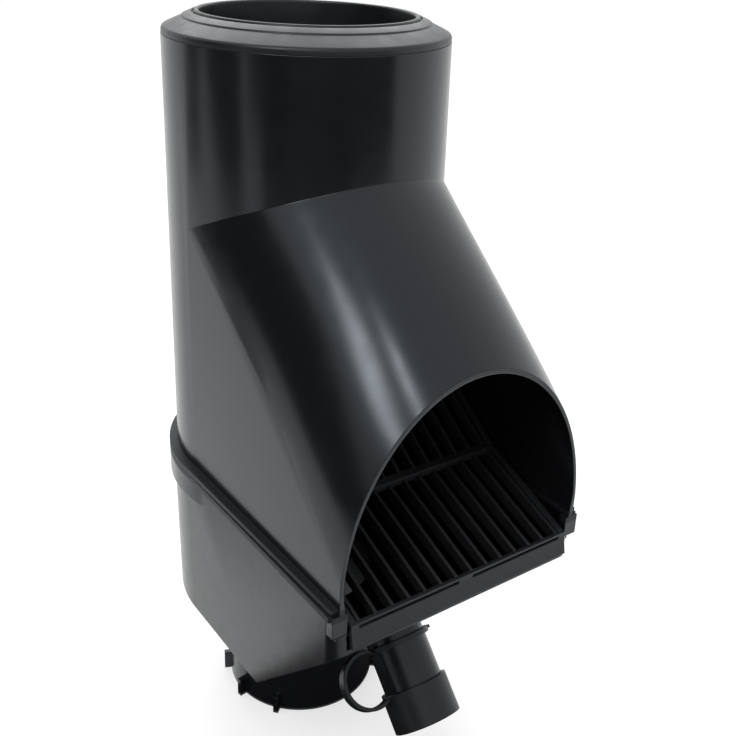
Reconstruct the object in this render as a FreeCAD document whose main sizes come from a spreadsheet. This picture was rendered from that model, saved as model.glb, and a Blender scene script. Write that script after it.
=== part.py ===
"""Downpipe leaf filter: two moulded shells, an inlet adapter, a slide-in grille and a capped drain spout.

Millimetres.  +Z is up along the downpipe, the origin is the centre of the outlet tube's rim, and leaves
come out at the front, towards -Y.
"""
import math
import os

import FreeCAD
import Part
import Sketcher

# Driving dimensions
DIMENSIONS = {
    # neck and hood
    "neck_radius": 55.0,
    "wall": 2.0,
    "neck_top": 306.0,
    "shoulder_height": 231.2,
    "hood_slope": 48.6,
    "hood_front": 112.0,
    "hood_narrowing": 2.0,
    "side_inset": 0.1,
    # flanges at the parting plane
    "parting_height": 129.2,
    "flange_overhang": 3.4,
    "hood_flange_thickness": 2.2,
    "tray_flange_thickness": 2.2,
    "flange_front": 110.5,
    # inlet adapter
    "inlet_bore_radius": 40.3,
    "adapter_plate": 3.0,
    "adapter_wall": 2.2,
    "adapter_skirt": 15.0,
    "adapter_sleeve": 30.0,
    "adapter_groove_radius": 47.0,
    "adapter_groove_width": 1.8,
    "adapter_groove_depth": 1.2,
    "adapter_edge": 1.2,
    # lower tray
    "tray_side_offset": 1.6,
    "tray_draft": 0.6,
    "tray_bottom": 57.0,
    "floor_break": 56.0,
    "front_wall_height": 18.2,
    "tray_corner_radius": 6.0,
    "collar_height": 9.2,
    "notch_inset": 3.5,
    "notch_depth": 16.2,
    "post_height": 6.5,
    "post_depth": 3.5,
    "post_inset": 0.8,
    # outlet tube
    "outlet_radius": 34.4,
    "outlet_wall": 2.2,
    "rib_count": 9,
    "rib_spread": 260.0,
    "rib_reach": 3.2,
    "rib_thickness": 2.4,
    "rib_height": 9.0,
    # drain spout and its cap
    "spout_radius": 12.4,
    "spout_wall": 2.0,
    "spout_offset": 70.0,
    "spout_length": 38.0,
    "cap_wall": 1.4,
    "cap_length": 15.7,
    "cap_end": 2.6,
    "ring_distance": 6.6,
    "ring_thickness": 2.2,
    "ring_wall": 1.4,
    "strap_width": 4.2,
    "strap_thickness": 1.5,
    "strap_slack": 1.4,
    "strap_on_cap": 1.0,
    "tail_length": 2.2,
    # leaf grille
    "bar_count": 14,
    "bar_margin": 1.3,
    "bar_thickness": 1.8,
    "bar_depth": 5.0,
    "grille_front": 109.0,
    "grille_bend": 67.0,
    "grille_front_slope": 20.0,
    "grille_back_slope": 34.0,
    "cross_bar_width": 4.0,
    "side_rail": 2.6,
    "front_rail_depth": 4.0,
    "front_rail_height": 2.6,
    "rail_lift": 9.9,
    "lip_side_gap": 0.9,
    "lip_height": 7.0,
    "lip_thickness": 1.8,
    "lip_lean": 12.0,
    "lip_gap": 1.3,
    "lip_bridge": 6.0,
    "guide_length": 18.0,
    "guide_thickness": 3.0,
    "clearance": 0.3,
}

XY, XZ, YZ = "XY_Plane", "XZ_Plane", "YZ_Plane"
# Turns a loose sketch so that its axes lie along Y and Z
SIDE_VIEW = FreeCAD.Rotation(FreeCAD.Vector(1, 1, 1), 120)
X_AXIS = FreeCAD.Vector(1, 0, 0)
Z_AXIS = FreeCAD.Vector(0, 0, 1)

doc = FreeCAD.newDocument("downpipe_leaf_filter")
sizes = doc.addObject("Spreadsheet::Sheet", "sizes")
for row, (alias, number) in enumerate(DIMENSIONS.items(), start=1):
    sizes.set(f"A{row}", alias)
    sizes.set(f"B{row}", str(number))
    sizes.setAlias(f"B{row}", alias)
doc.recompute()


def bind(target, **expressions):
    """Binds properties to sheet expressions; a double underscore stands for a dot."""
    for name, expression in expressions.items():
        target.setExpression(name.replace("__", "."), expression)


def value(expression):
    """The present value of a sheet expression."""
    result = sizes.evalExpression(expression)
    return float(getattr(result, "Value", result))


# Expressions used by several pieces
INNER = "(sizes.neck_radius - sizes.wall)"
FLANGE = "(sizes.neck_radius + sizes.flange_overhang)"
TRAY = "(sizes.neck_radius + sizes.tray_side_offset)"
TRAY_INNER = f"({TRAY} - sizes.wall)"
SLOPE = "(sizes.hood_slope * 1 deg)"
FLOOR_RISE = "(sizes.parting_height - sizes.front_wall_height - sizes.tray_bottom)"
FLOOR_RUN = "(sizes.hood_front - sizes.floor_break)"
FLOOR_ANGLE = f"atan({FLOOR_RISE} / {FLOOR_RUN})"
SPOUT_HEIGHT = f"(sizes.tray_bottom + (sizes.spout_offset - sizes.floor_break) * {FLOOR_RISE} / {FLOOR_RUN})"
NOTCH = "(sizes.neck_radius - sizes.notch_inset)"
NOTCH_FLOOR = "(sizes.parting_height - sizes.notch_depth)"
LIP = f"({NOTCH} - sizes.lip_side_gap)"
RAIL_FOOT = f"({NOTCH_FLOOR} + sizes.rail_lift)"
RAIL_TOP = f"({RAIL_FOOT} + sizes.front_rail_height)"
GRILLE_REACH = f"({INNER} - sizes.clearance)"
FRONT_TAN = "tan(sizes.grille_front_slope * 1 deg)"
BACK_TAN = "tan(sizes.grille_back_slope * 1 deg)"
BEND_HEIGHT = f"({RAIL_TOP} + (sizes.grille_front - sizes.grille_bend) * {FRONT_TAN})"
BACK_HEIGHT = f"({BEND_HEIGHT} + (sizes.grille_bend + {GRILLE_REACH}) * {BACK_TAN})"


def fix_point(sketch, geometry, vertex, x, y):
    """Ties one point of a sketch to two sheet expressions."""
    for kind, expression in (("DistanceX", x), ("DistanceY", y)):
        index = sketch.addConstraint(Sketcher.Constraint(kind, -1, 1, geometry, vertex, value(expression)))
        sketch.setExpression(f"Constraints[{index}]", expression)


def polygon(sketch, corners):
    """A closed outline whose corners are pairs of sheet expressions."""
    points = [FreeCAD.Vector(value(x), value(y), 0) for x, y in corners]
    count = len(points)
    first = sketch.GeometryCount
    for i in range(count):
        sketch.addGeometry(Part.LineSegment(points[i], points[(i + 1) % count]), False)
    for i in range(count):
        sketch.addConstraint(Sketcher.Constraint("Coincident", first + i, 2, first + (i + 1) % count, 1))
    for i, (x, y) in enumerate(corners):
        fix_point(sketch, first + i, 1, x, y)


def circle(sketch, radius):
    """A circle about the sketch's origin."""
    index = sketch.addGeometry(Part.Circle(FreeCAD.Vector(), FreeCAD.Vector(0, 0, 1), value(radius)), False)
    sketch.addConstraint(Sketcher.Constraint("Coincident", index, 3, -1, 1))
    datum = sketch.addConstraint(Sketcher.Constraint("Radius", index, value(radius)))
    sketch.setExpression(f"Constraints[{datum}]", radius)


def d_outline(sketch, half_width, front):
    """A half circle at the back and straight sides running to a flat front."""
    width, depth = value(half_width), value(front)
    first = sketch.GeometryCount
    disc = Part.Circle(FreeCAD.Vector(), FreeCAD.Vector(0, 0, 1), width)
    right, left = FreeCAD.Vector(width, 0, 0), FreeCAD.Vector(-width, 0, 0)
    front_left, front_right = FreeCAD.Vector(-width, -depth, 0), FreeCAD.Vector(width, -depth, 0)
    arc, left_side, front_edge, right_side = range(first, first + 4)
    sketch.addGeometry(Part.ArcOfCircle(disc, 0, math.pi), False)
    sketch.addGeometry(Part.LineSegment(left, front_left), False)
    sketch.addGeometry(Part.LineSegment(front_left, front_right), False)
    sketch.addGeometry(Part.LineSegment(front_right, right), False)
    for a, a_end, b, b_end in ((arc, 2, left_side, 1), (left_side, 2, front_edge, 1),
                               (front_edge, 2, right_side, 1), (right_side, 2, arc, 1)):
        sketch.addConstraint(Sketcher.Constraint("Coincident", a, a_end, b, b_end))
    sketch.addConstraint(Sketcher.Constraint("Coincident", arc, 3, -1, 1))
    sketch.addConstraint(Sketcher.Constraint("PointOnObject", arc, 1, -1))
    sketch.addConstraint(Sketcher.Constraint("PointOnObject", arc, 2, -1))
    sketch.addConstraint(Sketcher.Constraint("Vertical", left_side))
    sketch.addConstraint(Sketcher.Constraint("Vertical", right_side))
    sketch.addConstraint(Sketcher.Constraint("Horizontal", front_edge))
    radius = sketch.addConstraint(Sketcher.Constraint("Radius", arc, width))
    sketch.setExpression(f"Constraints[{radius}]", half_width)
    reach = sketch.addConstraint(Sketcher.Constraint("DistanceY", front_edge, 1, -1, 1, depth))
    sketch.setExpression(f"Constraints[{reach}]", front)


def body_sketch(body, name, role):
    """A sketch on one of the body's own origin planes."""
    sketch = body.newObject("Sketcher::SketchObject", name)
    plane = next(f for f in body.Origin.OriginFeatures if f.Role == role)
    sketch.AttachmentSupport = (plane, [""])
    sketch.MapMode = "FlatFace"
    return sketch


def new_body(label):
    body = doc.addObject("PartDesign::Body", label)
    body.Label = label
    return body


def feature(body, kind, name, sketch, **expressions):
    """A sketch based feature of a body."""
    made = body.newObject(f"PartDesign::{kind}", name)
    made.Profile = sketch
    bind(made, **expressions)
    return made


def mirror(body, name, original):
    """Repeats a feature on the other side of the middle plane."""
    pair = body.newObject("PartDesign::Mirrored", name)
    pair.Originals = [original]
    pair.MirrorPlane = (next(f for f in body.Origin.OriginFeatures if f.Role == YZ), [""])
    body.Tip = pair


def cylinder(name, radius, height, base_z="0"):
    made = doc.addObject("Part::Cylinder", name)
    bind(made, Radius=radius, Height=height, Placement__Base__z=base_z)
    return made


def extrusion(name, sketch, **lengths):
    """A solid raised square to a sketch."""
    made = doc.addObject("Part::Extrusion", name)
    made.Base = sketch
    made.DirMode = "Normal"
    made.Solid = True
    bind(made, **lengths)
    return made


def side_prism(name, corners, half_width):
    """A side view outline given its width along X, symmetric about the middle plane."""
    sketch = doc.addObject("Sketcher::SketchObject", f"{name}_outline")
    sketch.Placement = FreeCAD.Placement(FreeCAD.Vector(), SIDE_VIEW)
    polygon(sketch, corners)
    return extrusion(name, sketch, LengthFwd=half_width, LengthRev=half_width)


def fuse(name, shapes):
    made = doc.addObject("Part::MultiFuse", name)
    made.Shapes = shapes
    made.Refine = True
    return made


def common(name, base, tool):
    made = doc.addObject("Part::Common", name)
    made.Base, made.Tool = base, tool
    return made


def cut(name, base, tool):
    made = doc.addObject("Part::Cut", name)
    made.Base, made.Tool = base, tool
    made.Refine = True
    return made


def narrowed(name, base, radius):
    """Keeps what lies between flat sides, just inside the radius, that draw in towards the front."""
    beyond = "2 * sizes.hood_front"
    half_width = f"({radius} - sizes.side_inset)"
    far_width = f"({half_width} - 2 * sizes.hood_narrowing)"
    sketch = doc.addObject("Sketcher::SketchObject", f"{name}_plan")
    polygon(sketch, [
        (half_width, "2 * sizes.neck_radius"),
        (f"-{half_width}", "2 * sizes.neck_radius"),
        (f"-{half_width}", "0"),
        (f"-{far_width}", f"-{beyond}"),
        (far_width, f"-{beyond}"),
        (half_width, "0"),
    ])
    return common(name, base, extrusion(f"{name}_between", sketch, LengthFwd="sizes.neck_top"))


def hood_mass(name, radius, front, bottom):
    """The slanting hood as a solid: a round roof over flat sides, mitred to the neck."""
    taper = f"(sizes.hood_narrowing * sin({SLOPE}) / sizes.hood_front)"
    roof = doc.addObject("Part::Cone", f"{name}_roof")
    roof.Placement = FreeCAD.Placement(FreeCAD.Vector(), FreeCAD.Rotation(X_AXIS, 90))
    bind(roof, Radius1=f"{radius} + sizes.side_inset + {taper} * sizes.neck_radius",
         Radius2=f"{radius} + sizes.side_inset - {taper} * (sizes.neck_radius + 2 * sizes.hood_front)",
         Height="2 * (sizes.neck_radius + sizes.hood_front)",
         Placement__Rotation__Angle=f"180 deg - {SLOPE}",
         Placement__Base__y=f"sizes.neck_radius * sin({SLOPE})",
         Placement__Base__z=f"sizes.shoulder_height + sizes.neck_radius * cos({SLOPE})")
    drop = f"2 * sizes.hood_front / tan({SLOPE})"
    wedge = side_prism(f"{name}_wedge", [
        ("0", "sizes.shoulder_height"),
        ("-2 * sizes.hood_front", f"sizes.shoulder_height - {drop}"),
        ("0", f"sizes.shoulder_height - {drop}"),
    ], "1.2 * sizes.neck_radius")
    sides = narrowed(f"{name}_sides", fuse(f"{name}_uncut", [roof, wedge]), radius)
    mitre_reach = "1.2 * sizes.neck_radius"
    mitre_top = f"sizes.shoulder_height + {mitre_reach} * tan({SLOPE} / 2)"
    limits = side_prism(f"{name}_limits", [
        ("0", bottom),
        ("0", "sizes.shoulder_height"),
        (f"-{mitre_reach}", mitre_top),
        (f"-({front})", mitre_top),
        (f"-({front})", bottom),
    ], "1.2 * sizes.neck_radius")
    return common(name, sides, limits)


def d_prism(name, half_width, front, base_z, height):
    """A plate or prism with the shells' outline: round at the back, flat at the sides and front."""
    sketch = doc.addObject("Sketcher::SketchObject", f"{name}_outline")
    d_outline(sketch, half_width, front)
    bind(sketch, Placement__Base__z=base_z)
    return extrusion(name, sketch, LengthFwd=height)


def build_upper_hood():
    """Upper shell: round neck, mitred hood open at the front, flat sides, edge flange."""
    neck_height = "sizes.neck_top - sizes.parting_height"
    outside = fuse("hood_outside", [
        cylinder("neck_outside", "sizes.neck_radius", neck_height, "sizes.parting_height"),
        hood_mass("hood_outer", "sizes.neck_radius", "sizes.hood_front", "sizes.parting_height"),
        d_prism("hood_flange", FLANGE, "sizes.flange_front", "sizes.parting_height",
                "sizes.hood_flange_thickness"),
    ])
    inside = fuse("hood_inside", [
        cylinder("neck_inside", INNER, f"{neck_height} + 2 * sizes.wall", "sizes.parting_height - sizes.wall"),
        hood_mass("hood_inner", INNER, "sizes.hood_front + sizes.wall", "sizes.parting_height - sizes.wall"),
    ])
    return cut("upper_hood", outside, inside)


def build_inlet_adapter():
    """Reducing ring on the neck's mouth: plate with a ring groove, outer skirt and inner pipe sleeve."""
    body = new_body("inlet_adapter")
    skirt = f"({INNER} - sizes.clearance)"
    top = "(sizes.neck_top + sizes.adapter_plate)"
    groove_in = "sizes.adapter_groove_radius - sizes.adapter_groove_width / 2"
    groove_out = "sizes.adapter_groove_radius + sizes.adapter_groove_width / 2"
    sleeve = "(sizes.inlet_bore_radius + sizes.adapter_wall)"
    profile = body_sketch(body, "adapter_profile", XZ)
    polygon(profile, [
        ("sizes.inlet_bore_radius", top),
        (groove_in, top),
        (groove_in, f"{top} - sizes.adapter_groove_depth"),
        (groove_out, f"{top} - sizes.adapter_groove_depth"),
        (groove_out, top),
        ("sizes.neck_radius - sizes.adapter_edge", top),
        ("sizes.neck_radius - 0.3 * sizes.adapter_edge", f"{top} - 0.3 * sizes.adapter_edge"),
        ("sizes.neck_radius", f"{top} - sizes.adapter_edge"),
        ("sizes.neck_radius", "sizes.neck_top"),
        (skirt, "sizes.neck_top"),
        (skirt, "sizes.neck_top - sizes.adapter_skirt"),
        (f"{skirt} - sizes.adapter_wall", "sizes.neck_top - sizes.adapter_skirt"),
        (f"{skirt} - sizes.adapter_wall", "sizes.neck_top"),
        (sleeve, "sizes.neck_top"),
        (sleeve, "sizes.neck_top - sizes.adapter_sleeve"),
        ("sizes.inlet_bore_radius", "sizes.neck_top - sizes.adapter_sleeve"),
    ])
    ring = body.newObject("PartDesign::Revolution", "adapter_ring")
    ring.Profile = profile
    ring.ReferenceAxis = (profile, ["V_Axis"])
    return body


def tray_block(body, name, half_width, front, bottom, break_distance, corner_radius):
    """The tray's drafted block: round back, front floor cut to its slope, rounded front corners."""
    outline = body_sketch(body, f"{name}_outline", XY)
    d_outline(outline, half_width, front)
    bind(outline, AttachmentOffset__Base__z="sizes.parting_height")
    block = feature(body, "Pad", f"{name}_block", outline, Length=f"sizes.parting_height - ({bottom})",
                    TaperAngle="-sizes.tray_draft * 1 deg")
    block.Reversed = True

    beyond = "2 * sizes.hood_front"
    slope = body_sketch(body, f"{name}_slope", YZ)
    polygon(slope, [
        (f"-({break_distance})", bottom),
        (f"-{beyond}", f"{bottom} + ({beyond} - ({break_distance})) * {FLOOR_RISE} / {FLOOR_RUN}"),
        (f"-{beyond}", "0"),
        (f"-({break_distance})", "0"),
    ])
    sloped = feature(body, "Pocket", f"{name}_floor", slope)
    sloped.Type = "ThroughAll"
    sloped.Midplane = True
    doc.recompute()

    upright = value("sizes.front_wall_height") / 2
    corners = [f"Edge{i}" for i, edge in enumerate(sloped.Shape.Edges, start=1)
               if edge.BoundBox.YMax < value("sizes.tray_corner_radius") - value(front)
               and edge.BoundBox.ZLength > upright]
    rounded = body.newObject("PartDesign::Fillet", f"{name}_corners")
    rounded.Base = (sloped, corners)
    bind(rounded, Radius=corner_radius)


def add_outlet(body):
    """The outlet tube under the tray, open to the inside, with centring ribs at its rim, none in front."""
    tube = body_sketch(body, "outlet_outline", XY)
    circle(tube, "sizes.outlet_radius")
    feature(body, "Pad", "outlet_tube", tube, Length="sizes.tray_bottom + sizes.wall / 2")

    bore = body_sketch(body, "outlet_bore_outline", XY)
    circle(bore, "sizes.outlet_radius - sizes.outlet_wall")
    feature(body, "Pocket", "outlet_bore", bore, Length="sizes.tray_bottom + 2 * sizes.wall").Reversed = True

    section = body_sketch(body, "rib_outline", XY)
    section.AttachmentOffset = FreeCAD.Placement(FreeCAD.Vector(), FreeCAD.Rotation(Z_AXIS, 1))
    bind(section, AttachmentOffset__Rotation__Angle="(90 - sizes.rib_spread / 2) * 1 deg")
    root, tip = "sizes.outlet_radius - sizes.outlet_wall / 2", "sizes.outlet_radius + sizes.rib_reach"
    polygon(section, [
        (root, "-sizes.rib_thickness / 2"),
        (tip, "-sizes.rib_thickness / 2"),
        (tip, "sizes.rib_thickness / 2"),
        (root, "sizes.rib_thickness / 2"),
    ])
    rib = feature(body, "Pad", "outlet_rib", section, Length="sizes.rib_height")
    ribs = body.newObject("PartDesign::PolarPattern", "outlet_ribs")
    ribs.Originals = [rib]
    ribs.Axis = (next(f for f in body.Origin.OriginFeatures if f.Role == "Z_Axis"), [""])
    bind(ribs, Angle="sizes.rib_spread * 1 deg", Occurrences="sizes.rib_count")
    body.Tip = ribs


def spout_sketch(body, name, radius, distance):
    """A circle square to the sloping floor, at a distance from it along the spout."""
    sketch = body_sketch(body, name, XY)
    sketch.AttachmentOffset = FreeCAD.Placement(FreeCAD.Vector(), FreeCAD.Rotation(X_AXIS, 90))
    bind(sketch, AttachmentOffset__Rotation__Angle=f"180 deg - {FLOOR_ANGLE}",
         AttachmentOffset__Base__y=f"-sizes.spout_offset - ({distance}) * sin({FLOOR_ANGLE})",
         AttachmentOffset__Base__z=f"{SPOUT_HEIGHT} - ({distance}) * cos({FLOOR_ANGLE})")
    circle(sketch, radius)
    return sketch


def add_spout(body):
    """The drain spout, square to the sloping floor and open to the inside."""
    tube = spout_sketch(body, "spout_outline", "sizes.spout_radius", "-sizes.wall / 2")
    feature(body, "Pad", "spout_tube", tube, Length="sizes.spout_length + sizes.wall / 2")
    bore_radius = "sizes.spout_radius - sizes.spout_wall"
    bore = spout_sketch(body, "spout_bore_outline", bore_radius, "sizes.spout_length")
    feature(body, "Pocket", "spout_bore", bore, Length="sizes.spout_length + 2 * sizes.wall")


def add_guides(body):
    """Sloping ledges on the side walls that carry the grille's side rails."""
    inner_face = f"({GRILLE_REACH} - sizes.hood_narrowing - sizes.side_rail - sizes.clearance)"
    bar_foot = f"({RAIL_TOP} - sizes.bar_depth)"
    front, back = "(sizes.hood_front - sizes.wall)", "(sizes.grille_front - sizes.guide_length)"
    front_top = f"{bar_foot} - ({front} - sizes.grille_front) * {FRONT_TAN}"
    back_top = f"{bar_foot} + sizes.guide_length * {FRONT_TAN}"
    outline = body_sketch(body, "guide_outline", YZ)
    bind(outline, AttachmentOffset__Base__z=inner_face)
    polygon(outline, [
        (f"-{front}", front_top),
        (f"-{front}", f"{front_top} - sizes.guide_thickness"),
        (f"-{back}", f"{back_top} - sizes.guide_thickness"),
        (f"-{back}", back_top),
    ])
    guide = feature(body, "Pad", "guide", outline, Length=f"{TRAY} - sizes.wall / 2 - {inner_face}")
    mirror(body, "guides", guide)


def add_posts(body):
    """Square posts under the flange at the two front corners, beside the grille's notch."""
    outer = f"({FLANGE} - sizes.post_inset)"
    back = "(sizes.hood_front - sizes.post_depth)"
    outline = body_sketch(body, "post_outline", XY)
    bind(outline, AttachmentOffset__Base__z="sizes.parting_height")
    polygon(outline, [
        (NOTCH, "-sizes.hood_front"),
        (outer, "-sizes.hood_front"),
        (outer, f"-{back}"),
        (NOTCH, f"-{back}"),
    ])
    post = feature(body, "Pad", "post", outline, Length="sizes.tray_flange_thickness + sizes.post_height")
    post.Reversed = True
    mirror(body, "posts", post)


def build_lower_tray():
    """Lower shell: round back, sloping front floor, notched front wall, outlet tube and drain spout."""
    core = new_body("tray_core")
    tray_block(core, "core", TRAY_INNER, "(sizes.hood_front - sizes.wall)", "(sizes.tray_bottom + sizes.wall)",
               f"sizes.floor_break - sizes.wall * tan({FLOOR_ANGLE} / 2)",
               "sizes.tray_corner_radius - sizes.wall")

    body = new_body("lower_tray")
    tray_block(body, "tray", TRAY, "sizes.hood_front", "sizes.tray_bottom", "sizes.floor_break",
               "sizes.tray_corner_radius")

    flange = body_sketch(body, "tray_flange_outline", XY)
    d_outline(flange, FLANGE, "sizes.flange_front")
    bind(flange, AttachmentOffset__Base__z="sizes.parting_height")
    feature(body, "Pad", "tray_flange", flange, Length="sizes.tray_flange_thickness").Reversed = True

    collar = body_sketch(body, "collar_outline", XY)
    circle(collar, FLANGE)
    bind(collar, AttachmentOffset__Base__z="sizes.parting_height - sizes.tray_flange_thickness")
    feature(body, "Pad", "collar", collar, Length="sizes.collar_height").Reversed = True

    hollow = body.newObject("PartDesign::Boolean", "tray_hollow")
    hollow.Type = "Cut"
    hollow.setObjects([core])
    doc.recompute()

    notch = body_sketch(body, "lip_notch", XZ)
    above = "sizes.parting_height + sizes.wall"
    polygon(notch, [
        (f"-{NOTCH}", NOTCH_FLOOR),
        (NOTCH, NOTCH_FLOOR),
        (NOTCH, above),
        (f"-{NOTCH}", above),
    ])
    opening = feature(body, "Pocket", "lip_opening", notch, Length="sizes.hood_front + sizes.wall")
    opening.Reversed = True

    add_outlet(body)
    add_spout(body)
    add_guides(body)
    add_posts(body)
    return body


def bar_corners():
    """Side view of a grille bar: shallow at the front, steeper behind the bend."""
    top = [("-sizes.grille_front", RAIL_TOP), ("-sizes.grille_bend", BEND_HEIGHT), (GRILLE_REACH, BACK_HEIGHT)]
    foot = [(y, f"{z} - sizes.bar_depth") for y, z in reversed(top)]
    return top + foot


def build_leaf_grille():
    """Slide-in grille: bent bars in a U-shaped frame, cross bar, front rail and hanging lip."""
    bars = new_body("grille_bars")
    outer_bar = f"({GRILLE_REACH} - sizes.hood_narrowing - sizes.side_rail - sizes.bar_margin)"
    outline = body_sketch(bars, "bar_outline", YZ)
    bind(outline, AttachmentOffset__Base__z=f"-{outer_bar}")
    polygon(outline, bar_corners())
    bar = feature(bars, "Pad", "bar", outline, Length="sizes.bar_thickness")
    bar.Midplane = True
    row = bars.newObject("PartDesign::LinearPattern", "bar_row")
    row.Originals = [bar]
    row.Direction = (next(f for f in bars.Origin.OriginFeatures if f.Role == "X_Axis"), [""])
    bind(row, Length=f"2 * {outer_bar}", Occurrences="sizes.bar_count")
    bars.Tip = row
    doc.recompute()

    low, tall = "sizes.tray_bottom", "sizes.neck_top - sizes.tray_bottom"
    inside_rail = f"({GRILLE_REACH} - sizes.side_rail)"
    front_end = "sizes.grille_front - sizes.bar_thickness / 2"
    reach = narrowed("grille_reach", d_prism("grille_prism", GRILLE_REACH, front_end, low, tall), GRILLE_REACH)
    middle_prism = d_prism("grille_middle_prism", inside_rail, "sizes.hood_front", low, tall)
    middle = narrowed("grille_middle", middle_prism, inside_rail)
    slab = side_prism("grille_slab", bar_corners(), "sizes.neck_radius")
    frame = common("grille_frame", cut("grille_border", reach, middle), slab)
    trimmed = common("grille_bars_trimmed", bars, reach)

    cross = side_prism("cross_bar", [
        ("-sizes.grille_bend - sizes.cross_bar_width / 2", f"{BEND_HEIGHT} + sizes.bar_thickness / 4"),
        ("-sizes.grille_bend - sizes.cross_bar_width / 2", f"{BEND_HEIGHT} - sizes.bar_depth / 2"),
        ("-sizes.grille_bend + sizes.cross_bar_width / 2", f"{BEND_HEIGHT} - sizes.bar_depth / 2"),
        ("-sizes.grille_bend + sizes.cross_bar_width / 2", f"{BEND_HEIGHT} + sizes.bar_thickness / 4"),
    ], f"{GRILLE_REACH} - sizes.hood_narrowing - sizes.side_rail / 2")

    rail_front = "(sizes.grille_front + sizes.front_rail_depth)"
    rail = side_prism("front_rail", [
        (f"-{rail_front}", RAIL_TOP),
        (f"-{rail_front}", RAIL_FOOT),
        ("-sizes.grille_front + sizes.bar_thickness", RAIL_FOOT),
        ("-sizes.grille_front + sizes.bar_thickness", RAIL_TOP),
    ], LIP)

    lip_top = f"({RAIL_FOOT} - sizes.lip_gap)"
    lip_foot = f"({lip_top} - sizes.lip_height)"
    lip_front = f"({rail_front} + sizes.lip_height * tan(sizes.lip_lean * 1 deg))"
    lip = side_prism("lip", [
        (f"-{rail_front}", lip_top),
        (f"-{lip_front}", lip_foot),
        (f"-{lip_front} + sizes.lip_thickness", lip_foot),
        (f"-{rail_front} + sizes.lip_thickness", lip_top),
    ], LIP)

    bridges = []
    for name, middle_x in (("left_bridge", f"-{LIP} + sizes.lip_bridge / 4"), ("middle_bridge", "0"),
                           ("right_bridge", f"{LIP} - sizes.lip_bridge / 4")):
        half = "sizes.lip_bridge / 2" if name == "middle_bridge" else "sizes.lip_bridge / 4"
        bridge = side_prism(name, [
            (f"-{rail_front}", f"{RAIL_FOOT} + sizes.lip_gap"),
            (f"-{rail_front}", lip_top),
            (f"-{rail_front} + sizes.lip_thickness", f"{lip_top} - sizes.lip_gap"),
            (f"-{rail_front} + sizes.lip_thickness", f"{RAIL_FOOT} + sizes.lip_gap"),
        ], half)
        bind(bridge, Placement__Base__x=middle_x)
        bridges.append(bridge)
    return fuse("leaf_grille", [trimmed, frame, cross, rail, lip] + bridges)


def build_spout_cap():
    """Push-on spout cap with its strap and retaining ring, one moulding, square to the sloping floor."""
    body = new_body("spout_cap")
    bore = "(sizes.spout_radius + sizes.clearance)"
    end = "(sizes.spout_length + sizes.cap_end)"
    mouth = f"({end} - sizes.cap_length)"
    profile = body_sketch(body, "cap_profile", XZ)
    polygon(profile, [
        ("0", end),
        ("0", "sizes.spout_length"),
        (bore, "sizes.spout_length"),
        (bore, mouth),
        (f"{bore} + sizes.cap_wall", mouth),
        (f"{bore} + sizes.cap_wall", end),
    ])
    cap = body.newObject("PartDesign::Revolution", "cap")
    cap.Profile = profile
    cap.ReferenceAxis = (profile, ["V_Axis"])

    strap_end = f"({bore} + sizes.ring_wall / 2)"
    on_cap = f"({mouth} + sizes.strap_on_cap)"
    loop_height = f"((sizes.ring_distance + {on_cap}) / 2)"
    half_chord = f"(({on_cap} - sizes.ring_distance) / 2)"
    loop_radius = f"({half_chord} + sizes.strap_slack)"
    loop_x = f"({strap_end} + sqrt({loop_radius} ^ 2 - {half_chord} ^ 2))"
    loop = strap_sketch(body, "strap_outline", loop_radius, f"-{loop_x}", loop_height, f"-{strap_end}")
    strap = feature(body, "Pad", "strap", loop, Length="sizes.strap_width")
    strap.Midplane = True

    ring_profile = body_sketch(body, "ring_profile", XZ)
    ring_low = "sizes.ring_distance - sizes.ring_thickness / 2"
    ring_high = "sizes.ring_distance + sizes.ring_thickness / 2"
    polygon(ring_profile, [
        (bore, ring_low),
        (f"{bore} + sizes.ring_wall", ring_low),
        (f"{bore} + sizes.ring_wall", ring_high),
        (bore, ring_high),
    ])
    ring = body.newObject("PartDesign::Revolution", "retaining_ring")
    ring.Profile = ring_profile
    ring.ReferenceAxis = (ring_profile, ["V_Axis"])

    tail_outline = body_sketch(body, "tail_outline", XZ)
    tail_root = f"{bore} + sizes.ring_wall / 2"
    tail_tip = f"{bore} + sizes.ring_wall + sizes.tail_length"
    polygon(tail_outline, [
        (tail_root, ring_low),
        (tail_tip, f"{ring_low} + sizes.ring_thickness / 4"),
        (tail_tip, f"{ring_high} - sizes.ring_thickness / 4"),
        (tail_root, ring_high),
    ])
    tail = feature(body, "Pad", "tail", tail_outline, Length="sizes.strap_width")
    tail.Midplane = True

    body.Placement = FreeCAD.Placement(FreeCAD.Vector(), FreeCAD.Rotation(X_AXIS, 90))
    bind(body, Placement__Rotation__Angle=f"180 deg - {FLOOR_ANGLE}", Placement__Base__y="-sizes.spout_offset",
         Placement__Base__z=SPOUT_HEIGHT)
    return body


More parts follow.
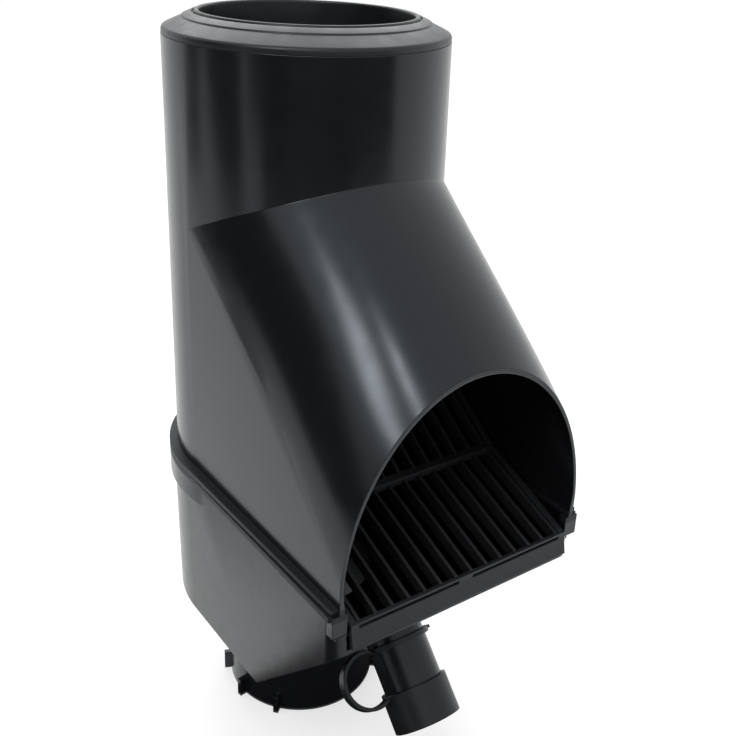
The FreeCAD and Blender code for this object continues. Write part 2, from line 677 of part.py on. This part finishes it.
def strap_sketch(body, name, loop_radius, centre_x, centre_y, end_x):
    """The strap's loop seen edge on: two arcs about one centre, ended on an upright line."""
    sketch = body_sketch(body, name, XZ)
    centre = FreeCAD.Vector(value(centre_x), value(centre_y), 0)
    radii = [f"{loop_radius} + sizes.strap_thickness / 2", f"{loop_radius} - sizes.strap_thickness / 2"]
    ends = []
    for index, radius in enumerate(radii):
        size = value(radius)
        opening = math.acos((value(end_x) - centre.x) / size)
        disc = Part.Circle(centre, FreeCAD.Vector(0, 0, 1), size)
        sketch.addGeometry(Part.ArcOfCircle(disc, opening, 2 * math.pi - opening), False)
        rise = size * math.sin(opening)
        ends.append([centre + FreeCAD.Vector(value(end_x) - centre.x, side * rise, 0) for side in (1, -1)])
        fix_point(sketch, index, 3, centre_x, centre_y)
        datum = sketch.addConstraint(Sketcher.Constraint("Radius", index, size))
        sketch.setExpression(f"Constraints[{datum}]", radius)
    for side, vertex in ((0, 1), (1, 2)):
        line = sketch.addGeometry(Part.LineSegment(ends[0][side], ends[1][side]), False)
        sketch.addConstraint(Sketcher.Constraint("Coincident", 0, vertex, line, 1))
        sketch.addConstraint(Sketcher.Constraint("Coincident", 1, vertex, line, 2))
        sketch.addConstraint(Sketcher.Constraint("Vertical", line))
        datum = sketch.addConstraint(Sketcher.Constraint("DistanceX", -1, 1, line, 1, value(end_x)))
        sketch.setExpression(f"Constraints[{datum}]", end_x)
    return sketch


PIECES = [
    build_upper_hood(),
    build_inlet_adapter(),
    build_lower_tray(),
    build_leaf_grille(),
    build_spout_cap(),
]
doc.recompute()

for item in doc.Objects:
    if "Invalid" in item.State or "Error" in item.State:
        raise RuntimeError(f"{item.Name} failed: {item.getStatusString()}")
for piece in PIECES:
    if piece.Shape.isNull() or not piece.Shape.isValid() or len(piece.Shape.Solids) != 1:
        raise RuntimeError(f"{piece.Label} is not one valid solid")

os.makedirs("parts", exist_ok=True)
for piece in PIECES:
    piece.Shape.exportStep(f"parts/{piece.Label}.step")
    print(piece.Label, round(piece.Shape.Volume), "cubic millimetres")
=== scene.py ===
"""Studio scene of a downpipe leaf filter: black moulded plastic on a pale floor, from the front left."""
import math

import bmesh
import bpy
from mathutils import Matrix, Vector


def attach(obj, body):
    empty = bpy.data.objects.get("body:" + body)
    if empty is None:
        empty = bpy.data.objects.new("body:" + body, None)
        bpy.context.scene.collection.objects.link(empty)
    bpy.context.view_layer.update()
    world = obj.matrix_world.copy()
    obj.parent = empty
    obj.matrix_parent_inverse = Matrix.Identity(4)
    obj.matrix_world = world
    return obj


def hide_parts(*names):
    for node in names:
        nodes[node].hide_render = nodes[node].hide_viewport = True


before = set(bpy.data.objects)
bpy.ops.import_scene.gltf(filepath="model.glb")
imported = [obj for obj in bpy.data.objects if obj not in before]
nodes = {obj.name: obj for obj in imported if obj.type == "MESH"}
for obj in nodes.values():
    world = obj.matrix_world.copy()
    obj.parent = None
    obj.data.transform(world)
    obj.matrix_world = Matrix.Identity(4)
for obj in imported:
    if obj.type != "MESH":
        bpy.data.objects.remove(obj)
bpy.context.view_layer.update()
scene = bpy.context.scene
scene.view_settings.view_transform = "Standard"

# Camera: its place in metres and its turn in degrees in the part's frame, and its picture in pixels
CAMERA_PLACE = Vector((-0.204921, -0.329454, 0.350435))
CAMERA_AZIMUTH = -36.9489
CAMERA_PITCH = 23.7423
CAMERA_ROLL = 2.6429
IMAGE_SIDE = 736
FOCAL_PIXELS = 992.78
CENTRE_PIXEL = (385.3, 330.14)
SENSOR_WIDTH = 36.0
NEAREST_SEEN = 0.01
FARTHEST_SEEN = 50


def make_camera():
    """A camera at the viewing angle, with the picture's centre shifted as the framing needs."""
    data = bpy.data.cameras.new("camera")
    camera = bpy.data.objects.new("camera", data)
    scene.collection.objects.link(camera)
    azimuth, pitch, roll = (math.radians(v) for v in (CAMERA_AZIMUTH, CAMERA_PITCH, CAMERA_ROLL))
    level = math.cos(pitch)
    back = Vector((math.sin(azimuth) * level, -math.cos(azimuth) * level, math.sin(pitch)))
    right = Vector((math.cos(azimuth), math.sin(azimuth), 0))
    up = back.cross(right)
    turned_right = math.cos(roll) * right + math.sin(roll) * up
    turned_up = -math.sin(roll) * right + math.cos(roll) * up
    turn = Matrix((turned_right, turned_up, back)).transposed()
    camera.matrix_world = Matrix.Translation(CAMERA_PLACE) @ turn.to_4x4()
    data.sensor_width = SENSOR_WIDTH
    data.lens = FOCAL_PIXELS / IMAGE_SIDE * SENSOR_WIDTH
    data.shift_x = (IMAGE_SIDE / 2 - CENTRE_PIXEL[0]) / IMAGE_SIDE
    data.shift_y = (CENTRE_PIXEL[1] - IMAGE_SIDE / 2) / IMAGE_SIDE
    data.clip_start = NEAREST_SEEN
    data.clip_end = FARTHEST_SEEN
    scene.camera = camera


make_camera()

# Plastics: colours are linear, lengths are in metres, and noise scales are in waves per metre
SHELL_DARK = (0.0034, 0.0036, 0.0043)
SHELL_LIGHT = (0.0048, 0.005, 0.0058)
SHEEN_TINT = (0.84, 0.93, 1)
NOISE_LOW = 0.3
NOISE_HIGH = 0.7
MOTTLE_SCALE = 40
MOTTLE_DETAIL = 4
GLOSS_SCALE = 140
GLOSS_DETAIL = 3
WAVE_SCALE = 14
WAVE_HEIGHT = 0.0003
WAVE_STRENGTH = 0.12
GRAIN_SCALE = 700
GRAIN_HEIGHT = 0.00004
RELIEF_DETAIL = 1
EDGE_ROUNDING = 0.0005
EDGE_SAMPLES = 8
PARTING_HEIGHT = 0.1292
FLANGE_BAND = 0.0024
FLANGE_ROUGHNESS = 0.55


def new_tree(material):
    """An emptied node tree with its output, for a procedural material."""
    material.use_nodes = True
    tree = material.node_tree
    tree.nodes.clear()
    return tree, tree.nodes.new("ShaderNodeOutputMaterial")


def noise(tree, place, scale, detail):
    """Three-dimensional noise over the part's own coordinates."""
    node = tree.nodes.new("ShaderNodeTexNoise")
    node.inputs["Scale"].default_value = scale
    node.inputs["Detail"].default_value = detail
    tree.links.new(place.outputs["Object"], node.inputs["Vector"])
    return node.outputs["Fac"]


def spread(tree, value, low, high):
    """A noise value spread over a range of numbers."""
    node = tree.nodes.new("ShaderNodeMapRange")
    node.inputs["From Min"].default_value = NOISE_LOW
    node.inputs["From Max"].default_value = NOISE_HIGH
    node.inputs["To Min"].default_value = low
    node.inputs["To Max"].default_value = high
    tree.links.new(value, node.inputs["Value"])
    return node.outputs["Result"]


def shade(tree, value, dark, light):
    """A colour between two tones."""
    node = tree.nodes.new("ShaderNodeMix")
    node.data_type = "RGBA"
    node.inputs["A"].default_value = (*dark, 1)
    node.inputs["B"].default_value = (*light, 1)
    tree.links.new(value, node.inputs["Factor"])
    return node.outputs["Result"]


def raised(tree, height, distance, strength, below):
    """Fine relief from a height value, on top of another relief."""
    node = tree.nodes.new("ShaderNodeBump")
    node.inputs["Distance"].default_value = distance
    node.inputs["Strength"].default_value = strength
    tree.links.new(height, node.inputs["Height"])
    tree.links.new(below, node.inputs["Normal"])
    return node.outputs["Normal"]


def near_parting(tree, place):
    """One in the narrow band of the two flanges at the parting line, nought elsewhere."""
    split = tree.nodes.new("ShaderNodeSeparateXYZ")
    tree.links.new(place.outputs["Object"], split.inputs["Vector"])
    node = tree.nodes.new("ShaderNodeMath")
    node.operation = "COMPARE"
    tree.links.new(split.outputs["Z"], node.inputs[0])
    node.inputs[1].default_value = PARTING_HEIGHT
    node.inputs[2].default_value = FLANGE_BAND
    return node.outputs["Value"]


def dulled_flange(tree, place, roughness):
    """A roughness that rises to one dull value on the flanges."""
    node = tree.nodes.new("ShaderNodeMix")
    tree.links.new(near_parting(tree, place), node.inputs["Factor"])
    tree.links.new(roughness, node.inputs["A"])
    node.inputs["B"].default_value = FLANGE_ROUGHNESS
    return node.outputs["Result"]


def moulded_plastic(name, dark, light, gloss, ior=1.47, grain=0.05, flanged=False):
    """Black moulded plastic: rounded edges, faint mottle in tone and gloss, soft waves and a fine grain."""
    material = bpy.data.materials.new(name)
    tree, output = new_tree(material)
    place = tree.nodes.new("ShaderNodeTexCoord")
    shader = tree.nodes.new("ShaderNodeBsdfPrincipled")
    shader.inputs["IOR"].default_value = ior
    shader.inputs["Specular Tint"].default_value = (*SHEEN_TINT, 1)
    mottle = noise(tree, place, MOTTLE_SCALE, MOTTLE_DETAIL)
    tree.links.new(shade(tree, mottle, dark, light), shader.inputs["Base Color"])
    roughness = spread(tree, noise(tree, place, GLOSS_SCALE, GLOSS_DETAIL), *gloss)
    if flanged:
        roughness = dulled_flange(tree, place, roughness)
    tree.links.new(roughness, shader.inputs["Roughness"])
    edges = tree.nodes.new("ShaderNodeBevel")
    edges.samples = EDGE_SAMPLES
    edges.inputs["Radius"].default_value = EDGE_ROUNDING
    swell = noise(tree, place, WAVE_SCALE, RELIEF_DETAIL)
    waves = raised(tree, swell, WAVE_HEIGHT, WAVE_STRENGTH, edges.outputs["Normal"])
    grains = noise(tree, place, GRAIN_SCALE, RELIEF_DETAIL)
    tree.links.new(raised(tree, grains, GRAIN_HEIGHT, grain, waves), shader.inputs["Normal"])
    tree.links.new(shader.outputs["BSDF"], output.inputs["Surface"])
    return material


LOOKS = {
    "upper_hood": moulded_plastic("hood_plastic_look", SHELL_DARK, SHELL_LIGHT,
                                  (0.2, 0.24), grain=0.02, flanged=True),
    "inlet_adapter": moulded_plastic("adapter_plastic_look", (0.0045, 0.0046, 0.0052),
                                     (0.006, 0.0061, 0.0068), (0.32, 0.42)),
    "lower_tray": moulded_plastic("tray_plastic_look", SHELL_DARK, SHELL_LIGHT,
                                  (0.22, 0.28), 1.43, grain=0.02, flanged=True),
    "leaf_grille": moulded_plastic("grille_plastic_look", (0.009, 0.009, 0.01),
                                   (0.013, 0.013, 0.0142), (0.4, 0.5), 1.38),
    "spout_cap": moulded_plastic("cap_plastic_look", (0.0045, 0.0045, 0.005),
                                 (0.0065, 0.0065, 0.007), (0.34, 0.44), 1.42),
}

# Meshes: how near points lie that are one, and the angle from which an edge is sharp
MERGE_DISTANCE = 0.00001
SHARP_ANGLE = math.radians(28)


def edge_prep():
    """Node group that joins the split mesh and marks only its sharp edges as sharp."""
    group = bpy.data.node_groups.new("joined_edges", "GeometryNodeTree")
    group.interface.new_socket("Geometry", in_out="INPUT", socket_type="NodeSocketGeometry")
    group.interface.new_socket("Geometry", in_out="OUTPUT", socket_type="NodeSocketGeometry")
    start = group.nodes.new("NodeGroupInput")
    end = group.nodes.new("NodeGroupOutput")
    merge = group.nodes.new("GeometryNodeMergeByDistance")
    merge.inputs["Distance"].default_value = MERGE_DISTANCE
    even = group.nodes.new("GeometryNodeSetShadeSmooth")
    angle = group.nodes.new("GeometryNodeInputMeshEdgeAngle")
    sharp = group.nodes.new("FunctionNodeCompare")
    sharp.operation = "GREATER_THAN"
    sharp.inputs["B"].default_value = SHARP_ANGLE
    crease = group.nodes.new("GeometryNodeSetShadeSmooth")
    crease.domain = "EDGE"
    crease.inputs["Shade Smooth"].default_value = False
    link = group.links.new
    link(start.outputs[0], merge.inputs["Geometry"])
    link(merge.outputs["Geometry"], even.inputs["Geometry"])
    link(even.outputs["Geometry"], crease.inputs["Geometry"])
    link(angle.outputs["Unsigned Angle"], sharp.inputs["A"])
    link(sharp.outputs["Result"], crease.inputs["Selection"])
    link(crease.outputs["Geometry"], end.inputs[0])
    return group


joined_edges = edge_prep()


def dress(piece, look):
    """Gives a piece its material and joins its split mesh."""
    piece.data.materials.clear()
    piece.data.materials.append(look)
    prep = piece.modifiers.new("joined_edges", "NODES")
    prep.node_group = joined_edges


def stand_in(name, mesh, node):
    """A piece that is shown in the place of one of the frame's nodes."""
    piece = bpy.data.objects.new(name, mesh)
    scene.collection.objects.link(piece)
    dress(piece, LOOKS[node])
    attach(piece, "root")
    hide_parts(node)


def node_mesh(node, name):
    """A copy of a node's mesh, without its stored normals."""
    mesh = nodes[node].data.copy()
    mesh.name = name
    if "custom_normal" in mesh.attributes:
        mesh.attributes.remove(mesh.attributes["custom_normal"])
    return mesh


def share_of(value, low, high):
    """How far a value has come from one bound to the other, kept between nought and one."""
    return min(max((value - low) / (high - low), 0), 1)


def smooth(value, low, high):
    """A share that eases from nought at one value to one at the other."""
    share = share_of(value, low, high)
    return share * share * (3 - 2 * share)


# Hood, in metres: the CAD neck's top, then the rim and the narrowing that the piece has instead
NECK_TOP = 0.306
NECK_TOLERANCE = 0.001
NECK_RIM = 0.3006
NECK_DRAFT = 0.988
# The mouth's flare, as shares of width and height that grow from back to front, and the flange's trim
FLARE_BACK = 0.03
FLARE_FRONT = 0.112
MOUTH_WIDENING = 0.037
MOUTH_RAISING = 0.03
FLANGE_START = 0.057
FLANGE_TRIM = 0.017
# The crease where the roof leaves the neck: a plane at half the roof's slant
ROOF_SLANT = math.radians(48.6)
CREASE_HEIGHT = 0.2312
CREASE_FALL = math.tan(ROOF_SLANT / 2)
CREASE_TOLERANCE = 0.0004
CREASE_ANGLE = math.radians(4)
# The mouth's thin rim: the height of its centre, how far its inner faces turn inwards, and its sizes
MOUTH_CENTRE = 0.15
INWARD_LIMIT = -0.2
RIM_FOOT = 0.134
RIM_DEPTH = 0.012
RIM_THINNING = 0.0008


def moulded_point(point):
    """Where a point of the hood lies once the neck is shortened and the mouth flares."""
    x, y, z = point
    if z > NECK_TOP - NECK_TOLERANCE:
        return Vector((x * NECK_DRAFT, y * NECK_DRAFT, NECK_RIM))
    if abs(x) < FLANGE_START:
        flare = smooth(-y, FLARE_BACK, FLARE_FRONT)
        x *= 1 + MOUTH_WIDENING * flare
        z = PARTING_HEIGHT + (z - PARTING_HEIGHT) * (1 + MOUTH_RAISING * flare)
    else:
        x *= 1 - FLANGE_TRIM * smooth(-y, 0, FLARE_BACK)
    return Vector((x, y, z))


def on_crease(point):
    """Whether a point of the hood lies on the plane in which the roof leaves the neck."""
    return abs(point.z - CREASE_HEIGHT + CREASE_FALL * point.y) < CREASE_TOLERANCE


def rim_shift(vertex):
    """How far a point inside the mouth moves outwards, so that the wall thins towards its rim."""
    outwards = Vector((vertex.co.x, 0, vertex.co.z - MOUTH_CENTRE)).normalized()
    inside = any(face.normal.dot(outwards) < INWARD_LIMIT for face in vertex.link_faces)
    if not inside or vertex.co.z < RIM_FOOT:
        return Vector()
    return RIM_THINNING * smooth(-vertex.co.y, FLARE_FRONT - RIM_DEPTH, FLARE_FRONT) * outwards


def make_hood():
    """The hood's shell with a flared, thin-edged mouth, a sharp crease and a lower neck rim."""
    mesh = node_mesh("upper_hood", "hood_shell")
    shell = bmesh.new()
    shell.from_mesh(mesh)
    bmesh.ops.remove_doubles(shell, verts=shell.verts, dist=MERGE_DISTANCE)
    shell.normal_update()
    for edge in shell.edges:
        along = all(on_crease(vertex.co) for vertex in edge.verts)
        if along and edge.calc_face_angle(0) > CREASE_ANGLE:
            edge.smooth = False
    shifts = [rim_shift(vertex) for vertex in shell.verts]
    for vertex, shift in zip(shell.verts, shifts):
        vertex.co = moulded_point(vertex.co + shift)
    shell.to_mesh(mesh)
    shell.free()
    stand_in("hood_shell", mesh, "upper_hood")


# Inlet ring, in millimetres: radii and heights of the sleeve, the skirt, the outer edge and the groove
MM_PER_METRE = 1000
BORE = 40.3
SLEEVE = 42.5
SLEEVE_FOOT = 276
SKIRT_INSIDE = 50
SKIRT_OUTSIDE = 52
SKIRT_FOOT = 291
EDGE = 54.2
EDGE_FOOT = 300.7
GROOVE_FLOOR = 307.4
RING_TOP = 309
# The ring's outline: radius and height of each corner, and its rounding
RING_CORNERS = (
    (BORE, SLEEVE_FOOT, 0), (SLEEVE, SLEEVE_FOOT, 0), (SLEEVE, 304.4, 0),
    (SKIRT_INSIDE, 301, 0), (SKIRT_INSIDE, SKIRT_FOOT, 0),
    (SKIRT_OUTSIDE, SKIRT_FOOT, 0), (SKIRT_OUTSIDE, EDGE_FOOT, 0),
    (EDGE, EDGE_FOOT, 0), (EDGE, 302.95, 1.6),
    (46.6, 306.4, 0), (46.5, 306.85, 0.3), (43, 308.4, 0.3),
    (42.7, GROOVE_FLOOR, 0), (42.2, GROOVE_FLOOR, 0),
    (42.1, RING_TOP, 0.8), (BORE, RING_TOP, 0.9),
)
ROUNDING_STEPS = 5
RING_STEPS = 144


def rounded(corners):
    """A closed outline from corners that each have a rounding radius, or nought for a sharp one."""
    outline = []
    for i, (across, up, radius) in enumerate(corners):
        corner = Vector((across, up))
        before = (Vector(corners[i - 1][:2]) - corner).normalized()
        after = (Vector(corners[(i + 1) % len(corners)][:2]) - corner).normalized()
        half = before.angle(after) / 2
        centre = corner + radius / math.sin(half) * (before + after).normalized()
        start = corner + radius / math.tan(half) * before - centre
        finish = corner + radius / math.tan(half) * after - centre
        turns = ROUNDING_STEPS if radius else 0
        for k in range(turns + 1):
            outline.append(centre + radius * start.lerp(finish, k / ROUNDING_STEPS).normalized())
    return outline


def turned(name, profile):
    """A ring turned from a closed profile of radius and height in millimetres round the pipe axis."""
    count = len(profile)
    corners = []
    faces = []
    for i in range(RING_STEPS):
        angle = 2 * math.pi * i / RING_STEPS
        for radius, height in profile:
            across = radius * math.cos(angle) / MM_PER_METRE
            along = radius * math.sin(angle) / MM_PER_METRE
            corners.append((across, along, height / MM_PER_METRE))
        first = i * count
        second = (i + 1) % RING_STEPS * count
        for j in range(count):
            ahead = (j + 1) % count
            faces.append((first + j, first + ahead, second + ahead, second + j))
    mesh = bpy.data.meshes.new(name)
    mesh.from_pydata(corners, [], faces)
    return mesh


def make_inlet_ring():
    """The ring in the neck's mouth: a sleeve, a stepped top that falls outwards, and a skirt."""
    mesh = turned("inlet_ring", rounded(RING_CORNERS))
    stand_in("inlet_ring", mesh, "inlet_adapter")


# Grille, in metres: places of the CAD front rail, the lip and the bars
RAIL_FRONT = -0.113
RAIL_BACK = -0.1072
RAIL_TOP = 0.1255
RAIL_FOOT = 0.1229
LIP_TOP = 0.1216
BAR_PITCH = 0.0072
OUTER_BAR = 0.0468
BAR_THICKNESS = 0.0018
BAR_TOLERANCE = 0.0001
# What the piece has instead: slimmer bars that reach forward and a rail whose top is lower
BAR_SLIMNESS = 0.72
BAR_REACH = 0.0042
BAR_FALL = 0.0015
REACH_END = -0.092


def slender_point(point):
    """Where a point of the grille lies once its bars are slimmer and reach forward to a slender rail."""
    x, y, z = point
    middle = BAR_PITCH * (math.floor(x / BAR_PITCH) + 0.5)
    on_bar = abs(x - middle) < BAR_THICKNESS / 2 + BAR_TOLERANCE
    if on_bar and abs(middle) < OUTER_BAR + BAR_TOLERANCE:
        x = middle + BAR_SLIMNESS * (x - middle)
    fading = share_of(y, REACH_END, RAIL_BACK)
    reach = BAR_REACH * fading * share_of(y, RAIL_FRONT, RAIL_BACK) * share_of(z, LIP_TOP, RAIL_FOOT)
    return Vector((x, y - reach, z - BAR_FALL * fading * share_of(z, RAIL_FOOT, RAIL_TOP)))


def make_grille():
    """The grille with bars that run down to the slot above the lip, over a slender front rail."""
    mesh = node_mesh("leaf_grille", "grille_insert")
    for vertex in mesh.vertices:
        vertex.co = slender_point(vertex.co)
    stand_in("grille_insert", mesh, "leaf_grille")


for name, node in nodes.items():
    dress(node, LOOKS[name])
make_hood()
make_grille()
make_inlet_ring()

# World: strength of its even light, where its strength in reflections and to the camera is one
STUDIO_LIGHT = 0.78


def make_world():
    """White to the camera and in reflections, a plain even light for the rest."""
    world = bpy.data.worlds.new("studio")
    scene.world = world
    world.use_nodes = True
    tree = world.node_tree
    tree.nodes.clear()
    output = tree.nodes.new("ShaderNodeOutputWorld")
    path = tree.nodes.new("ShaderNodeLightPath")
    seen = path.outputs["Is Camera Ray"]
    for ray in ("Is Glossy Ray", "Is Transmission Ray"):
        either = tree.nodes.new("ShaderNodeMath")
        either.operation = "MAXIMUM"
        tree.links.new(seen, either.inputs[0])
        tree.links.new(path.outputs[ray], either.inputs[1])
        seen = either.outputs["Value"]
    strength = tree.nodes.new("ShaderNodeMapRange")
    strength.inputs["To Min"].default_value = STUDIO_LIGHT
    strength.inputs["To Max"].default_value = 1
    tree.links.new(seen, strength.inputs["Value"])
    background = tree.nodes.new("ShaderNodeBackground")
    background.inputs["Color"].default_value = (1, 1, 1, 1)
    tree.links.new(strength.outputs["Result"], background.inputs["Strength"])
    tree.links.new(background.outputs["Background"], output.inputs["Surface"])


make_world()


def stage_object(name, corners, faces, material):
    """A piece of the studio that isn't part of the object."""
    mesh = bpy.data.meshes.new(name)
    mesh.from_pydata(corners, [], faces)
    mesh.materials.append(material)
    piece = bpy.data.objects.new(name, mesh)
    scene.collection.objects.link(piece)
    return piece


# Floor: two opposite corners in metres, its own light and its colour
FLOOR_CORNERS = ((-1.4, -0.86), (7, 7))
FLOOR_GLOW = 0.6
FLOOR_COLOUR = (0.52, 0.52, 0.52)


def make_floor():
    """A wide floor, pale enough to be white in the picture and to keep a faint shadow."""
    material = bpy.data.materials.new("floor_white")
    tree, output = new_tree(material)
    glow = tree.nodes.new("ShaderNodeEmission")
    glow.inputs["Strength"].default_value = FLOOR_GLOW
    matt = tree.nodes.new("ShaderNodeBsdfDiffuse")
    matt.inputs["Color"].default_value = (*FLOOR_COLOUR, 1)
    both = tree.nodes.new("ShaderNodeAddShader")
    tree.links.new(glow.outputs["Emission"], both.inputs[0])
    tree.links.new(matt.outputs["BSDF"], both.inputs[1])
    tree.links.new(both.outputs["Shader"], output.inputs["Surface"])
    (left, front), (right, back) = FLOOR_CORNERS
    corners = [(left, front, 0), (right, front, 0), (right, back, 0), (left, back, 0)]
    stage_object("floor", corners, [(0, 1, 2, 3)], material)


make_floor()

# Flags, in metres: each one's line on the floor, its lower edge and its upper edge
FLAG_LEFT = -1.45
FLAG_FRONT = -0.9
FOOT_TOP = 0.12
FLAGS = {
    "left_flag": (((FLAG_LEFT, 1.6), (FLAG_LEFT, -0.19)), FOOT_TOP, 1.25),
    "left_flag_foot": (((FLAG_LEFT, 1.6), (FLAG_LEFT, 0.9)), 0, FOOT_TOP),
    "middle_flag_foot": (((FLAG_LEFT, 0.62), (FLAG_LEFT, -0.19)), 0, FOOT_TOP),
    "corner_flag": (((FLAG_LEFT, -0.35), (-0.9, FLAG_FRONT)), 0, 0.75),
    "front_flag": (((-0.9, FLAG_FRONT), (0.7, FLAG_FRONT)), 0, 0.3),
}
# Cloths just above the floor: the corners of each
CLOTHS = {
    # The outlet cloth is painted shade: a dark sheet under the outlet that stands in for the floor's shadow
    # near the base, as the lower parts reflect it.
    "outlet_shade_cloth": ((-0.35, -0.2), (0.04, -0.2), (0.04, 0), (-0.35, 0)),
    "left_cloth": ((-1.3, 1.45), (-1.3, 0.78), (-0.92, 0.56), (-0.72, 0.8)),
    "middle_cloth": ((-1.45, 0.62), (-1.45, -0.2), (-0.82, -0.12), (-0.82, 0.03), (-0.95, 0.17)),
    "front_cloth": ((-0.7, -0.3), (-1.38, -0.58), (-0.9, -0.86), (0.05, -0.86), (0.05, -0.7),
                    (-0.42, -0.58)),
}
CLOTH_RISE = 0.001
CLOTH_DARK = (0.03, 0.03, 0.03)
CLOTH_LIGHT = (0.05, 0.05, 0.05)
CLOTH_SCALE = 30
CLOTH_DETAIL = 2


def cloth_black():
    """Dull black cloth with a faint mottle."""
    material = bpy.data.materials.new("flag_black")
    tree, output = new_tree(material)
    cloth = tree.nodes.new("ShaderNodeBsdfDiffuse")
    place = tree.nodes.new("ShaderNodeTexCoord")
    mottle = noise(tree, place, CLOTH_SCALE, CLOTH_DETAIL)
    tree.links.new(shade(tree, mottle, CLOTH_DARK, CLOTH_LIGHT), cloth.inputs["Color"])
    tree.links.new(cloth.outputs["BSDF"], output.inputs["Surface"])
    return material


def hang(cloth):
    """Shows a cloth only in reflections, so that it neither stands in a view nor shades the floor."""
    cloth.visible_camera = False
    cloth.visible_diffuse = False
    cloth.visible_shadow = False


def make_flags():
    """Black cloths round the part that darken its reflections, as a studio sets them for black gloss; the
    one under the outlet is painted shade for the floor's shadow near the base.
    """
    material = cloth_black()
    for name, (plan, low, high) in FLAGS.items():
        corners = [(x, y, low) for x, y in plan] + [(x, y, high) for x, y in plan]
        count = len(plan)
        faces = [(i, i + 1, count + i + 1, count + i) for i in range(count - 1)]
        hang(stage_object(name, corners, faces, material))
    for name, plan in CLOTHS.items():
        corners = [(x, y, CLOTH_RISE) for x, y in plan]
        hang(stage_object(name, corners, [range(len(plan))], material))


make_flags()

# Lamps: azimuth and elevation in degrees, distance and size in metres, power in watts
LAMP_AIM = Vector((0, -0.05, 0.19))
LAMPS = {
    "left_lamp": (-153, 44, 1.2, (0.22, 0.38), 2.7),
    "rear_lamp": (61, 46, 1.5, (1.2, 1.1), 11.5),
    "small_lamp": (-125, 54, 1.2, (0.1, 0.14), 0.9),
}


def softbox(name, azimuth, elevation, distance, size, power):
    """A rectangular lamp in a direction from the part, facing it."""
    data = bpy.data.lights.new(name, "AREA")
    data.shape = "RECTANGLE"
    data.size, data.size_y = size
    data.energy = power
    lamp = bpy.data.objects.new(name, data)
    scene.collection.objects.link(lamp)
    turn, rise = math.radians(azimuth), math.radians(elevation)
    level = math.cos(rise)
    way = Vector((math.cos(turn) * level, math.sin(turn) * level, math.sin(rise)))
    lamp.location = LAMP_AIM + distance * way
    lamp.rotation_euler = way.to_track_quat("Z", "Y").to_euler()


for name, lamp in LAMPS.items():
    softbox(name, *lamp)
